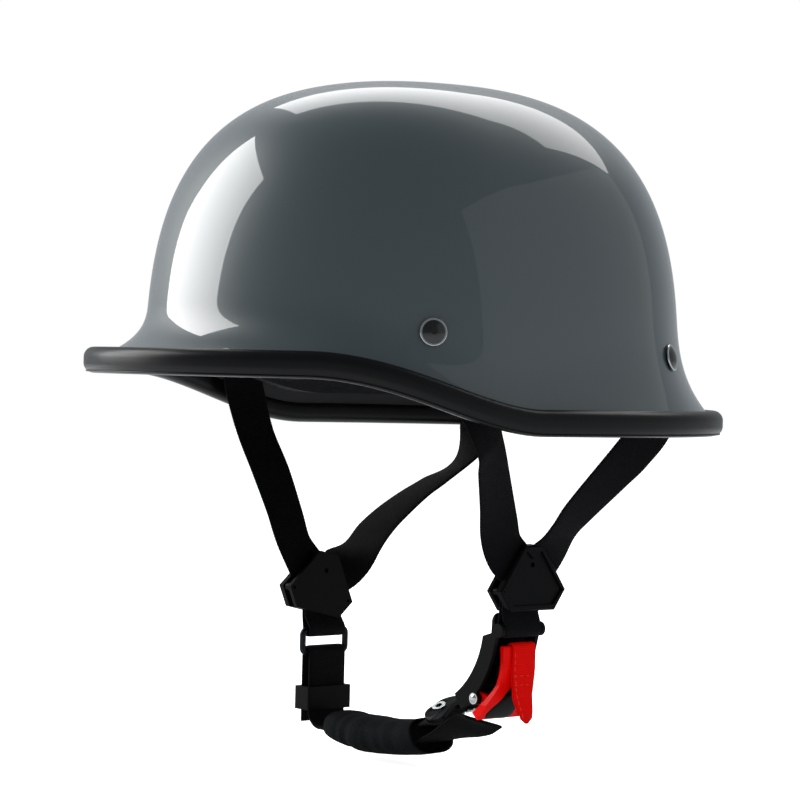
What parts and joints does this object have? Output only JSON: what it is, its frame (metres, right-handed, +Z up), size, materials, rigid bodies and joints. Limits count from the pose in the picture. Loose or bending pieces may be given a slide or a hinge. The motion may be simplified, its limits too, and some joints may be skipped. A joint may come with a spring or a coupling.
{
  "type": "half shell motorcycle helmet",
  "caption": "Half shell motorcycle helmet with flared skirt, rubber edge trim, foam liner, four-point straps, padded chin sleeve and micrometric toothed buckle.",
  "frame": {"origin": "centre of the head opening, level with the middle of the edge trim at the nape", "axes": "-Y to the wearer's front, +X to the wearer's left, +Z up through the crown"},
  "size_m": [0.2324, 0.3014, 0.3095],
  "materials": {
    "shell_gloss": "high-gloss dark slate grey lacquer over a moulded shell",
    "trim_rubber": "satin black rubber bead",
    "liner_foam": "dark moulded impact foam",
    "pad_cloth": "black brushed comfort cloth over foam",
    "cap_plastic": "black domed rivet cap",
    "bright_metal": "bright plated metal",
    "wire_steel": "spring steel",
    "webbing": "black woven webbing",
    "black_plastic": "fine-grained black moulded plastic",
    "sleeve_cloth": "dark grey woven cloth over soft padding",
    "lever_red": "glossy red moulded plastic",
    "tab_red": "red woven ribbon"
  },
  "bodies": {
    "root": {"outer_shell": "shell_gloss", "edge_trim": "trim_rubber", "foam_liner": "liner_foam", "brow_pad": "pad_cloth", "side_pad_left": "pad_cloth", "side_pad_right": "pad_cloth", "nape_pad": "pad_cloth", "crown_pad": "pad_cloth", "anchor_caps": "cap_plastic", "anchor_rings": "bright_metal", "anchor_washers": "wire_steel", "strap_left_front": "webbing", "strap_left_rear": "webbing", "strap_right_front": "webbing", "strap_right_rear": "webbing", "divider_left_front": "black_plastic", "divider_left_back": "black_plastic", "divider_right_front": "black_plastic", "divider_right_back": "black_plastic", "web_left": "webbing", "web_right_upper": "webbing", "rectangular_ring": "black_plastic", "web_right_lower": "webbing", "chin_web": "webbing", "chin_sleeve": "sleeve_cloth", "buckle_receiver": "black_plastic", "lever_axle": "wire_steel", "lever_spring": "wire_steel"},
    "tongue": {"tongue": "black_plastic", "tongue_rivets": "bright_metal", "tongue_eyelet": "bright_metal"},
    "lever": {"release_lever": "lever_red", "lever_insert": "black_plastic", "pawl_leaf": "wire_steel"},
    "tab": {"pull_tab": "tab_red"},
    "keeper": {"strap_keeper": "black_plastic"}
  },
  "joints": [
    {"name": "tongue_release", "type": "hinge", "parent": "root", "child": "tongue", "pos_m": [0.02058, 0.01159, -0.089], "axis": [-0.1994, 0.9799, 0], "range_deg": [-5, 56], "deforming": ["chin_web", "chin_sleeve", "pawl_leaf"]},
    {"name": "lever_hinge", "type": "hinge", "parent": "root", "child": "lever", "pos_m": [0.05582, 0.01876, -0.12373], "axis": [-0.1994, 0.9799, 0], "range_deg": [0, 38], "deforming": ["lever_spring"]},
    {"name": "tab_swing", "type": "hinge", "parent": "lever", "child": "tab", "pos_m": [0.06869, 0.02138, -0.1006], "axis": [0.1994, -0.9799, 0], "range_deg": [0, 80]},
    {"name": "keeper_slide", "type": "slide", "parent": "root", "child": "keeper", "axis": [0, 0, 1], "range_m": [0, 0.012]}
  ]
}
